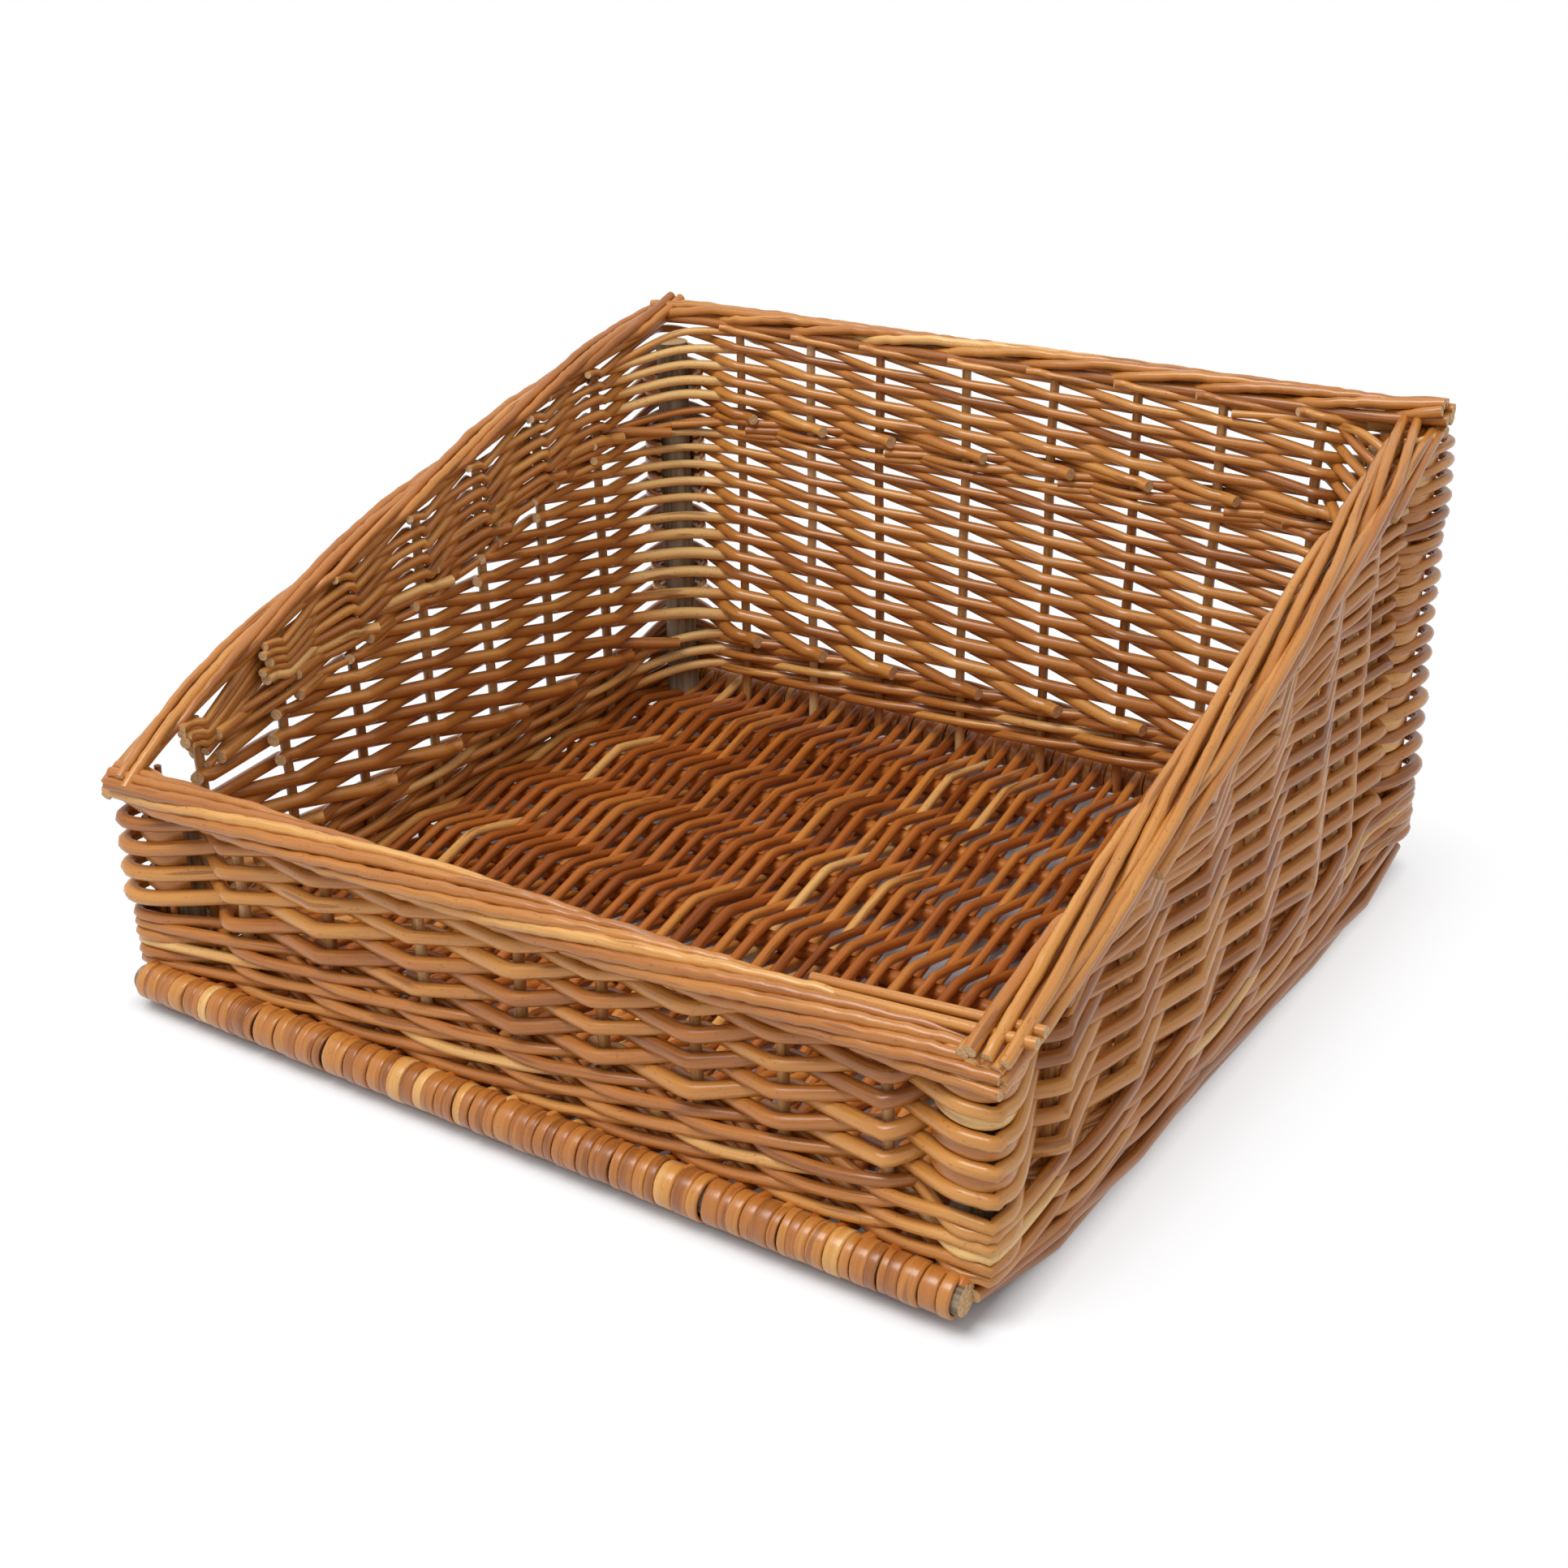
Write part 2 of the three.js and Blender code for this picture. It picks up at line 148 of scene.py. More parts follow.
def willowMaterial(kind):
    look = {**grainLook, **willowLook[kind]}
    material, start = newMaterial(kind + "Willow")
    grain = start.node("ShaderNodeAttribute", {"attribute_name": "rodGrain"}, out="Vector")
    tone = start.node("ShaderNodeAttribute", {"attribute_name": "rodTone"}, out="Fac")
    patches = grain.noise(*look["patches"])
    streaks = grain.noise(*look["streaks"])
    specks = grain.noise(*look["specks"]).ramp(*look["speckRange"])
    scars = grain.noise(*look["scars"]).ramp(*look["scarRange"])
    shade = tone + (patches - 0.5) * look["patchShare"] + (streaks - 0.5) * look["streakShare"]
    colour = look["dark"]
    for name in ("warm", "tan", "pale"):
        colour = shade.ramp(*look[name + "Range"]).mixed(colour, look[name])
    for spots, share in ((specks, "speckShare"), (scars, "scarShare")):
        colour = (spots * look[share]).mixed(colour, look["dark"])
    height = streaks * look["ridge"] - scars * look["pit"]
    closeMaterial(start, look, colour, streaks, height)
    return material


# posts and rail sticks: brown sticks with their bark on
barkLook = {"deep": (0.13, 0.09, 0.052, 1), "brown": (0.30, 0.215, 0.13, 1),
            "grey": (0.45, 0.38, 0.275, 1), "brownRange": (0.35, 0.62), "greyRange": (0.45, 0.68),
            "ridges": ((30, 5.0, 5.0), 5.0), "blotches": ((18, 0.9, 0.9), 3.0),
            "bump": 0.6, "bumpHeight": 0.0012, "smooth": 0.62, "rough": 0.25}


def barkMaterial():
    look = barkLook
    material, start = newMaterial("barkStick")
    grain = start.node("ShaderNodeAttribute", {"attribute_name": "rodGrain"}, out="Vector")
    ridges = grain.noise(*look["ridges"])
    blotches = grain.noise(*look["blotches"])
    colour = ridges.ramp(*look["brownRange"]).mixed(look["deep"], look["brown"])
    colour = blotches.ramp(*look["greyRange"]).mixed(colour, look["grey"])
    closeMaterial(start, look, colour, ridges, ridges)
    return material


# cut ends show bare wood
cutLook = {"wood": (0.70, 0.48, 0.25, 1), "pith": (0.48, 0.27, 0.11, 1), "pithRange": (0.4, 0.7),
           "fibres": ((900, 900, 900), 3.0), "bump": 0.3, "bumpHeight": 0.0003,
           "smooth": 0.6, "rough": 0.2}


def cutMaterial():
    look = cutLook
    material, start = newMaterial("cutEnd")
    place = start.node("ShaderNodeTexCoord", out="Object")
    fibres = place.noise(*look["fibres"])
    colour = fibres.ramp(*look["pithRange"]).mixed(look["wood"], look["pith"])
    closeMaterial(start, look, colour, fibres, fibres)
    return material


materials = {kind: willowMaterial(kind) for kind in willowLook}
materials["bark"] = barkMaterial()
materials["cut"] = cutMaterial()
print("materials made:", len(materials))

# the flat rods' edges: how far they are rounded, and in how many steps
pressedLook = {"round": 0.96, "steps": 4}


# sweeps a rod along every route of a mesh of lines, with square cut ends; a pressed rod lies flat
def sweepTree(name, pressed):
    tree = bpy.data.node_groups.new(name, "GeometryNodeTree")
    sockets = {"Routes": "Geometry", "Sides": "Int", "Step": "Float", "Thickness": "Float",
               "Skin": "Material", "Cut": "Material"}
    for label, kind in sockets.items():
        tree.interface.new_socket(name=label, in_out="INPUT", socket_type="NodeSocket" + kind)
    tree.interface.new_socket(name="Rods", in_out="OUTPUT", socket_type="NodeSocketGeometry")
    start = Wire(tree)
    given = start.node("NodeGroupInput")

    def geo(kind, sockets=None, **settings):
        return start.node("GeometryNode" + kind, settings, sockets)

    def attribute(label, kind):
        return geo("InputNamedAttribute", {"Name": label}, data_type=kind)

    def stored(geometry, label, value):
        sockets = {"Geometry": geometry, "Name": label, "Value": value}
        return geo("StoreNamedAttribute", sockets, data_type="FLOAT_VECTOR", domain="POINT")

    line = geo("MeshToCurve", {"Mesh": given.other("Routes")})
    line = geo("CurveSplineType", {"Curve": line}, spline_type="CATMULL_ROM")
    line = geo("ResampleCurve", {"Curve": line, "Length": given.other("Step")}, mode="LENGTH")
    if pressed:
        facing = attribute("rodFacing", "FLOAT_VECTOR")
        line = geo("SetCurveNormal", {"Curve": line, "Normal": facing}, mode="FREE")
        thickness = given.other("Thickness")
        ring = geo("CurvePrimitiveQuadrilateral", {"Width": thickness * 2, "Height": 2.0})
        edge = {"Count": pressedLook["steps"], "Radius": thickness * pressedLook["round"]}
        ring = geo("FilletCurve", {"Curve": ring, **edge}, mode="POLY")
    else:
        sides = {"Resolution": given.other("Sides"), "Radius": 1.0}
        ring = geo("CurvePrimitiveCircle", sides, mode="RADIUS")
    ring = stored(ring, "rodSkin", geo("InputPosition"))
    size = attribute("rodRadius", "FLOAT")
    rods = geo("CurveToMesh", {"Curve": line, "Profile Curve": ring, "Scale": size,
                               "Fill Caps": True})
    skin = attribute("rodSkin", "FLOAT_VECTOR")
    skin = start.node("ShaderNodeSeparateXYZ", None, {"Vector": skin})
    grain = {"X": attribute("rodAlong", "FLOAT"), "Y": skin, "Z": skin.other("Y")}
    rods = stored(rods, "rodGrain", start.node("ShaderNodeCombineXYZ", None, grain))
    # only the cut ends have more than four corners
    isCut = start.node("FunctionNodeCompare", {"data_type": "INT", "operation": "GREATER_THAN"},
                       {2: geo("InputMeshFaceNeighbors"), 3: 4})
    rods = geo("SetShadeSmooth", {"Geometry": rods, "Selection": isCut, "Shade Smooth": False},
               domain="FACE")
    rods = geo("RealizeInstances", {"Geometry": rods})
    rods = geo("SetMaterial", {"Geometry": rods, "Material": given.other("Skin")})
    cut = given.other("Cut")
    rods = geo("SetMaterial", {"Geometry": rods, "Selection": isCut, "Material": cut})
    start.node("NodeGroupOutput", None, {"Rods": rods})
    return tree


roundSweep = sweepTree("roundSweep", False)
pressedSweep = sweepTree("pressedSweep", True)

# small differences along and between rods; a tone goes from dark 0 to pale 1
rodLook = {"seed": 500, "lumps": 0.04, "grainStart": 40, "paleTones": (0.8, 1.0),
           "lowShare": 0.6, "highShare": 0.4}


# a route in millimetres, the radius at its butt and its tip, and one tone or one for each point
def rod(points, butt, tip, tone, closed=False, facing=None):
    return {"points": np.array(points, float), "butt": butt, "tip": tip, "tone": tone,
            "closed": closed, "facing": facing}


def jitter(pick, amount):
    return pick.uniform(-amount, amount)


def pickTone(pick, low, high, paleShare):
    if pick.random() < paleShare:
        return pick.uniform(*rodLook["paleTones"])
    return pick.triangular(low, high, low * rodLook["lowShare"] + high * rodLook["highShare"])


# routes are lines of a plain mesh, which the tree turns into rods
def makeRods(name, rods, look, pieceNodes):
    pick = random.Random(look["seed"] + rodLook["seed"])
    points, edges, radii, along, tones, facings = [], [], [], [], [], []
    for one in rods:
        route = one["points"]
        count = len(route)
        steps = np.linalg.norm(np.diff(route, axis=0), axis=1)
        reach = np.concatenate([[0], np.cumsum(steps)])
        share = reach / reach[-1]
        size = one["butt"] + (one["tip"] - one["butt"]) * share
        size = size * np.array([1 + jitter(pick, rodLook["lumps"]) for _ in range(count)])
        first = len(points)
        if one["closed"]:
            size[-1] = size[0]
            edges.append((first + count - 1, first))
        edges.extend((first + i, first + i + 1) for i in range(count - 1))
        points.extend(route * toMetres)
        radii.extend(size * toMetres)
        along.extend(reach * toMetres + pick.uniform(0, rodLook["grainStart"]))
        tones.extend(np.broadcast_to(one["tone"], count))
        facings.extend(one["facing"] or [])
    mesh = bpy.data.meshes.new(name)
    mesh.from_pydata([tuple(p) for p in points], edges, [])
    for key, values in (("rodRadius", radii), ("rodAlong", along), ("rodTone", tones)):
        held = mesh.attributes.new(key, "FLOAT", "POINT")
        held.data.foreach_set("value", np.array(values, np.float32))
    if facings:
        held = mesh.attributes.new("rodFacing", "FLOAT_VECTOR", "POINT")
        held.data.foreach_set("vector", np.array(facings, np.float32).ravel())
    routes = bpy.data.objects.new(name, mesh)
    bpy.context.scene.collection.objects.link(routes)
    sweep = routes.modifiers.new("sweep", "NODES")
    sweep.node_group = pressedSweep if facings else roundSweep
    values = {"Sides": look["sides"], "Step": look["step"] * toMetres,
              "Thickness": look.get("thickness", 1.0),
              "Skin": materials[look["skin"]], "Cut": materials["cut"]}
    for item in sweep.node_group.interface.items_tree:
        if item.in_out == "INPUT" and item.name in values:
            sweep[item.identifier] = values[item.name]
    swept = routes.evaluated_get(bpy.context.evaluated_depsgraph_get())
    shaped = bpy.data.meshes.new_from_object(swept)
    routes.modifiers.remove(sweep)
    routes.data = shaped
    bpy.data.meshes.remove(mesh)
    shaped.name = name
    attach(routes, "root")
    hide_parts(*pieceNodes)
    faces = sum(len(p.vertices) - 2 for p in shaped.polygons)
    print("made", name, len(rods), "rods", faces, "triangles")


# places taken from the frame, in millimetres
def boxOf(node):
    return np.array(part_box(node)) * toMillimetres


def centreOf(node):
    low, high = boxOf(node)
    return (low + high) / 2


wallOrder = ("front", "right", "back", "left")
outward = dict(zip(wallOrder, np.array(((0, -1), (1, 0), (0, 1), (-1, 0)), float)))
cornerBefore = dict(zip(wallOrder, ("front_left", "front_right", "back_right", "back_left")))
sidingNodes = ["siding_" + wall for wall in wallOrder]
width = boxOf("border_front")[1][0] * 2
depth = boxOf("border_back")[1][1] * 2
frontTop = boxOf("border_front")[1][2]
backTop = boxOf("border_back")[1][2]
borderDeep = frontTop - boxOf("border_front")[0][2]
stakeRadius = 2.4

# hand weaving leaves the sides bowed: outwards, and up along the border
bowLook = {"out": 7.2, "up": 8.6, "fullness": 2.8, "rail": 2.0,
           "baseY": (-190, -140, -40, 60, 120, 160, 190),
           "baseOut": (-2.0, 1.2, 3.0, 4.9, 6.2, 6.6, 5.0)}


def bow(y):
    return max(0, 1 - abs(2 * y / depth) ** bowLook["fullness"])


def sideTop(y):
    return frontTop + (backTop - frontTop) * (y / depth + 0.5) + bowLook["up"] * bow(y)


def turned(normal):
    return np.array((-normal[1], normal[0]), float)


# stakes and posts in the order that the weaving passes them, from the front left corner
def listUprights():
    found = []
    for number, wall in enumerate(wallOrder):
        normal = outward[wall]
        earlier = outward[wallOrder[number - 1]]
        post = "corner_post_" + cornerBefore[wall]
        low, high = boxOf(post)
        found.append({"at": centreOf(post)[:2], "out": (normal + earlier) / math.sqrt(2),
                      "before": earlier, "after": normal, "along": turned(normal),
                      "radius": (high[0] - low[0]) / 2, "top": high[2],
                      "post": True, "wall": wall, "node": post})
        stakes = [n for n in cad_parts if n.startswith("stake_" + wall + "_")]
        for stake in sorted(stakes, key=lambda n: int(n.split("_")[-1])):
            at = centreOf(stake)[:2]
            if wall in ("right", "left"):
                at = at + normal * bowLook["out"] * bow(at[1])
            found.append({"at": at, "out": normal, "along": turned(normal), "radius": stakeRadius,
                          "post": False, "wall": wall, "node": stake})
    return found


uprights = listUprights()
uprightCount = len(uprights)
posts = [u for u in uprights if u["post"]]


def stakesIn(wall):
    return [u for u in uprights if u["wall"] == wall and not u["post"]]


# the weaving starts on the front rail and a little higher at the back
weaveLook = {"low": 15.6, "backRise": 9, "lateness": 6}


def weaveLow(y):
    return weaveLook["low"] + weaveLook["backRise"] * max(0, 2 * y / depth) ** weaveLook["lateness"]


def topOf(wall, y):
    return {"front": frontTop, "back": backTop}.get(wall, sideTop(y))


def topAt(upright):
    return topOf(None if upright["post"] else upright["wall"], upright["at"][1])


# a rod's way past the uprights: each stop is an upright, outside 1 or inside -1 of it, and a
# height; at each corner the rods turn this far outside the post
passLook = {"front_left": 2.8, "front_right": 3.8, "back_right": 9.2, "back_left": 4.5,
            "crease": 1.38, "kink": 0.22, "sharp": "front_right", "near": 0.24}


def passing(stops, radius, rest=0.0, climb=0.0):
    points = []
    for (number, side, z), size in zip(stops, np.broadcast_to(radius, len(stops))):
        upright = uprights[number % uprightCount]
        reach = upright["radius"] + size
        if not upright["post"]:
            for step in (-rest, 0, rest) if rest else (0,):
                bent = reach - passLook["kink"] * abs(step)
                at = upright["at"] + upright["out"] * side * bent + upright["along"] * step
                points.append((*at, z + climb * step))
        elif side > 0:
            corner = cornerBefore[upright["wall"]]
            reach += passLook[corner]
            before, after = upright["before"], upright["after"]
            crease = upright["out"] * passLook["crease"]
            ways = [before, crease, after]
            if corner == passLook["sharp"]:
                near = passLook["near"]
                ways = [before, crease + (before - crease) * near, crease,
                        crease + (after - crease) * near, after]
            points.extend((*(upright["at"] + way * reach), z) for way in ways)
        else:
            points.append((*(upright["at"] - upright["out"] * reach), z))
    return points


# the end of a rod, inside the wall just before or after an upright
def loose(number, z, radius, step, inwards):
    upright = uprights[number % uprightCount]
    out, along = upright["out"], upright["along"]
    if upright["post"] and step < 0:
        out, along = upright["before"], turned(upright["before"])
    at = upright["at"] - out * (upright["radius"] + radius + inwards) + along * step
    return (at[0], at[1], z)


# painted highlight: rods are painted paler where they pass inside the back left post and outside
# the front right one, where the light falls on them
paintedHighlightLook = ({"post": "corner_post_back_left", "side": -1, "reach": 46.0, "by": 0.7},
            {"post": "corner_post_front_right", "side": 1, "reach": 34.0, "by": 0.3})


# paints the highlight: raises the tone of a rod's points near those posts, most at the post
def paintHighlight(points, stops, tone):
    flat = np.array(points)[:, :2]
    for fade in paintedHighlightLook:
        number = next(n for n, upright in enumerate(uprights) if upright["node"] == fade["post"])
        if any(stop[0] % uprightCount == number and stop[1] == fade["side"] for stop in stops):
            away = np.linalg.norm(flat - uprights[number]["at"], axis=1)
            tone = tone + fade["by"] * np.clip(1 - (away / fade["reach"]) ** 2, 0, 1)
    return tone


# upsett: three tiers of a three-rod wale, in front of two stakes and behind one
upsettLook = {"seed": 21, "sides": 10, "step": 3.0, "skin": "wall", "tones": (0.2, 0.75, 0.06),
              "tiers": 3, "tierRise": 8.2, "radius": 2.35, "sizes": (0.94, 1.06),
              "levels": (0, 4.1, 4.7), "wander": 0.35,
              "skipped": "corner_post_back_right", "skippedRise": 2.4}


def makeUpsett():
    look = upsettLook
    pick = random.Random(look["seed"])
    lanes = len(look["levels"])
    rods = []
    for tier in range(look["tiers"]):
        for lane in range(lanes):
            stops = []
            phase = lane
            for number, upright in enumerate(uprights):
                low = weaveLow(upright["at"][1]) + look["radius"]
                z = low + tier * look["tierRise"] + jitter(pick, look["wander"])
                stage = phase % lanes
                if upright["node"] == look["skipped"]:
                    stops.append((number, 1, z + stage * look["skippedRise"]))
                    continue
                side = -1 if stage == lanes - 1 else 1
                stops.append((number, side, z + look["levels"][stage]))
                phase += 1
            radius = look["radius"] * pick.uniform(*look["sizes"])
            points = passing(stops, radius)
            # painted highlight near the corner posts raises this rod's tone
            tone = paintHighlight(points, stops, pickTone(pick, *look["tones"]))
            rods.append(rod(points, radius, radius, tone, True))
    makeRods("upsett", rods, look, ["upsett_" + wall for wall in wallOrder])


# siding: one rod starts at every stake, climbs one row to the next, and passes outside and inside
# in turn; it thins as it climbs, and the rows with it
sidingLook = {"seed": 4, "upperSeed": 5, "sides": 10, "step": 3.0, "skin": "wall",
              "tones": (0.2, 0.8, 0.05), "sizes": (0.88, 1.06), "butt": 3.25, "thinning": 0.056,
              "rise": 5.8, "flattening": 0.09, "upperButt": 2.7, "upperThinning": 0.09,
              "thinnest": 1.6, "aboveUpsett": 26.6, "wander": 0.5, "climb": 0.12,
              "rests": (4, 4.5, 5, 6), "bandRadius": 1.9, "bandTone": 0.4, "bandToneStep": 0.05,
              "dip": {"front": 0.7, "right": 1.6, "back": -0.2, "left": -0.2}}
# the heights along the sides where the lower rods end and the upper ones begin
joinLook = {"y": (-171, -170, -115, -5, 77, 112, 171), "z": (98, 88, 102, 117, 144, 151, 160),
            "above": 4.6, "rows": 10, "leastRise": 0.5, "underBorder": -2.5, "never": 1000,
            "tucked": 5.0, "spare": 0.1, "bands": (3.4, 1.2, -2.2, -5.0)}
# how far past a stake the rods end, and how far inside it
endLook = {"rise": 0.8, "before": (9, 15), "beforeIn": (0.5, 2.5), "after": (7, 12),
           "afterIn": (0.3, 1.5), "held": 6, "heldFirstIn": 0.5, "heldLastIn": 0.3}


def joinHeight(upright):
    if upright["wall"] == "front" and not upright["post"]:
        return joinLook["never"]
    return float(np.interp(upright["at"][1], joinLook["y"], joinLook["z"]))


def underBorder(upright):
    return topAt(upright) - borderDeep - joinLook["underBorder"]


def lowerRow(upright, level):
    climbed = sidingLook["rise"] * level - sidingLook["flattening"] * level ** 2 / 2
    z = weaveLow(upright["at"][1]) + sidingLook["aboveUpsett"] + climbed
    highest = min(joinHeight(upright), underBorder(upright)) + joinLook["spare"]
    return z if z <= highest else None


def upperRow(upright, level):
    low = joinHeight(upright) + joinLook["above"]
    rise = (underBorder(upright) - low) / joinLook["rows"]
    isThere = rise >= joinLook["leastRise"] and level <= joinLook["rows"]
    return low + rise * level if isThere else None


def isPost(number, where=""):
    return uprights[number % uprightCount]["node"].startswith("corner_post_" + where)


# no rod begins or ends on a post, or just inside the front ones; at the back it goes a stake on
def trimRun(run, isUpper):
    while run and isPost(run[0][0]):
        run.pop(0)
    if run and isUpper and run[0][1] % 2 and isPost(run[0][0] - 1, "front"):
        run.pop(0)
    if run and isPost(run[-1][0], "back"):
        number, level, z = run[-1]
        highest = underBorder(uprights[(number + 1) % uprightCount]) - joinLook["tucked"]
        run.append((number + 1, level + 1, min(z, highest)))
    while run and (isPost(run[-1][0], "front") or isPost(run[-1][0] - 1, "front")):
        run.pop()
    if run and run[-1][1] % 2 and isPost(run[-1][0] + 1, "front"):
        run.pop()


# a rod for each run; an end that is outside a stake goes on to the next one and is held there
def randRods(row, thick, thinning, pick):
    look, ends = sidingLook, endLook
    runs = []
    for lane in range(uprightCount):
        run = []
        for level in range(uprightCount):
            number = lane + level
            z = row(uprights[number % uprightCount], level)
            if z is not None:
                run.append((number, level, z + jitter(pick, look["wander"])))
            if run and (z is None or level == uprightCount - 1):
                runs.append(run)
                run = []
    made = []
    for run in runs:
        trimRun(run, row is upperRow)
        if len(run) < 2:
            continue
        share = pick.uniform(*look["sizes"])
        sizes = [share * max(look["thinnest"], thick - thinning * level) for _, level, _ in run]
        stops = []
        for number, level, z in run:
            side = 1 if level % 2 else -1
            dip = look["dip"][uprights[number % uprightCount]["wall"]]
            stops.append((number, side, z if isPost(number) else z - side * dip))
        points = passing(stops, sizes, pick.choice(look["rests"]), look["climb"])
        number, side, z = stops[0]
        if side < 0:
            step, inwards = -pick.uniform(*ends["before"]), pick.uniform(*ends["beforeIn"])
            start = loose(number, z - ends["rise"], sizes[0], step, inwards)
        else:
            start = loose(number - 1, z - look["rise"], sizes[0], ends["held"], ends["heldFirstIn"])
        points.insert(0, start)
        number, side, z = stops[-1]
        if side < 0:
            step, inwards = pick.uniform(*ends["after"]), pick.uniform(*ends["afterIn"])
            points.append(loose(number, z + ends["rise"], sizes[-1], step, inwards))
        else:
            points.append(loose(number + 1, z, sizes[-1], -ends["held"], ends["heldLastIn"]))
        # painted highlight near the corner posts raises this rod's tone
        tone = paintHighlight(points, stops, pickTone(pick, *look["tones"]))
        made.append(rod(points, sizes[0], sizes[-1], tone))
    return made


def makeSiding():
    look = sidingLook
    pick = random.Random(look["seed"])
    band = []
    radius = look["bandRadius"]
    banded = [n for n, upright in enumerate(uprights) if upperRow(upright, 0) is not None]
    for lane, above in enumerate(joinLook["bands"]):
        stops = []
        for number in banded:
            side = 1 if (number + lane) % 2 else -1
            stops.append((number, side, joinHeight(uprights[number]) + above))
        tone = look["bandTone"] + look["bandToneStep"] * lane
        band.append(rod(passing(stops, radius), radius, radius, tone))
    lower = randRods(lowerRow, look["butt"], look["thinning"], pick)
    upper = randRods(upperRow, look["upperButt"], look["upperThinning"], pick)
    makeRods("sidingLower", lower, look, sidingNodes)
    upperLook = {**look, "seed": look["upperSeed"]}
    makeRods("sidingUpper", upper + band, upperLook, sidingNodes)


# packing: short flat pieces bent round the outside of the posts, between the rods that pass there,
# with upright sticks where the rods stand off
packingLook = {"seed": 61, "sides": 8, "step": 2.0, "skin": "wall", "tones": (0.3, 0.8, 0.2),
               "thickness": 0.6, "radius": 3.0, "sizes": (0.85, 1.2), "share": 0.8,
               "stand": (-0.6, 0.9), "firstRow": 2, "creaseWidth": 4,
               "angles": (-135, -105, -75, -45, -20, 0, 20, 45, 75, 105, 135),
               "hold": {"back_right": 0.72, "front_left": 0.8},
               "full": ("front_right", "back_right"),
               "creased": {"front_right": 0.36, "back_left": 0.2},
               "below": {"front_left": 88}}
# each stick's turn round the post, and how much further out it stands
fillerRing = ((-64, 1), (-32, 1), (0, 1), (32, 1), (64, 1))
fillerLook = {"seed": 63, "sides": 8, "step": 3.0, "skin": "wall", "tones": (0.1, 0.3),
              "radius": {"back_right": 3.9, "front_left": 1.5}, "low": 22.0, "points": 9,
              "wander": 0.3, "turns": {
                  "back_right": (*fillerRing, (-30, 1.36), (0, 1.42), (30, 1.36)),
                  "front_left": fillerRing}}


def packingRows(upright):
    levels = range(packingLook["firstRow"], uprightCount, 2)
    rows = [row(upright, level) for row in (lowerRow, upperRow) for level in levels]
    return [z for z in rows if z is not None]


def packingBands(upright, corner, heading, pick):
    look = packingLook
    hold = look["hold"].get(corner, 1)
    creased = look["creased"].get(corner, 0)
    below = look["below"].get(corner, backTop)
    angles = [heading + math.radians(angle * hold) for angle in look["angles"]]
    facing = [(math.cos(a), math.sin(a), 0) for a in angles]
    crest = [max(0, math.cos(a - heading)) ** look["creaseWidth"] for a in angles]
    bands = []
    for z in packingRows(upright):
        if z < below and (pick.random() < look["share"] or corner in look["full"]):
            reach = upright["radius"] + passLook[corner] + pick.uniform(*look["stand"])
            points = []
            for way, high in zip(facing, crest):
                at = upright["at"] + np.array(way[:2]) * reach * (1 + creased * high)
                points.append((*at, z))
            radius = look["radius"] * pick.uniform(*look["sizes"])
            tone = pickTone(pick, *look["tones"])
            bands.append(rod(points, radius, radius, tone, False, facing))
    return bands


def fillerSticks(upright, corner, heading, pick):
    look = fillerLook
    sticks = []
    for turn, far in look["turns"].get(corner, ()):
        radius = look["radius"][corner]
        angle = heading + math.radians(turn)
        way = np.array((math.cos(angle), math.sin(angle)))
        at = upright["at"] + way * (upright["radius"] + radius) * far
        heights = np.linspace(look["low"], topAt(upright) - borderDeep, look["points"])
        points = [(*(at + jitter(pick, look["wander"])), z) for z in heights]
        sticks.append(rod(points, radius, radius, pick.uniform(*look["tones"])))
    return sticks


def makePacking():
    pick = random.Random(packingLook["seed"])
    bands, fillers = [], []
    for upright in posts:
        corner = cornerBefore[upright["wall"]]
        heading = math.atan2(upright["out"][1], upright["out"][0])
        bands.extend(packingBands(upright, corner, heading, pick))
        fillers.extend(fillerSticks(upright, corner, heading, pick))
    makeRods("packing", bands, packingLook, sidingNodes)
    makeRods("cornerFillers", fillers, fillerLook, sidingNodes)


# stakes: thin uprights from the base to the border
stakeLook = {"seed": 7, "sides": 10, "step": 6.0, "skin": "stake", "tones": (0.35, 0.9, 0.3),
             "tipShare": 0.9, "foot": 10.0, "inBorder": 3, "lean": 0.5, "points": 8}


def makeStakes():
    look = stakeLook
    for number, wall in enumerate(wallOrder):
        pick = random.Random(look["seed"] + number)
        own = stakesIn(wall)
        rods = []
        for upright in own:
            high = topAt(upright) - borderDeep + look["inBorder"]
            points = []
            for z in np.linspace(look["foot"], high, look["points"]):
                shift = upright["along"] * jitter(pick, look["lean"])
                points.append((*(upright["at"] + shift), z))
            tone = pickTone(pick, *look["tones"])
            rods.append(rod(points, stakeRadius, stakeRadius * look["tipShare"], tone))
        makeRods("stakes_" + wall, rods, look, [u["node"] for u in own])


# posts: thick barky sticks in the corners
postLook = {"seed": 9, "sides": 24, "step": 5.0, "skin": "bark", "tone": 0.5, "tipShare": 0.97,
            "foot": 8.0, "proud": 2, "slimmer": 0.35, "lean": 0.3, "points": 12}


def makePosts():
    look = postLook
    for upright in posts:
        pick = random.Random(look["seed"])
        points = []
        for z in np.linspace(look["foot"], upright["top"] + look["proud"], look["points"]):
            shift = [jitter(pick, look["lean"]) for _ in range(2)]
            points.append((*(upright["at"] + np.array(shift)), z))
        radius = upright["radius"] - look["slimmer"]
        stick = rod(points, radius, radius * look["tipShare"], look["tone"])
        node = upright["node"]
        makeRods(node.replace("corner_", ""), [stick], look, [node])


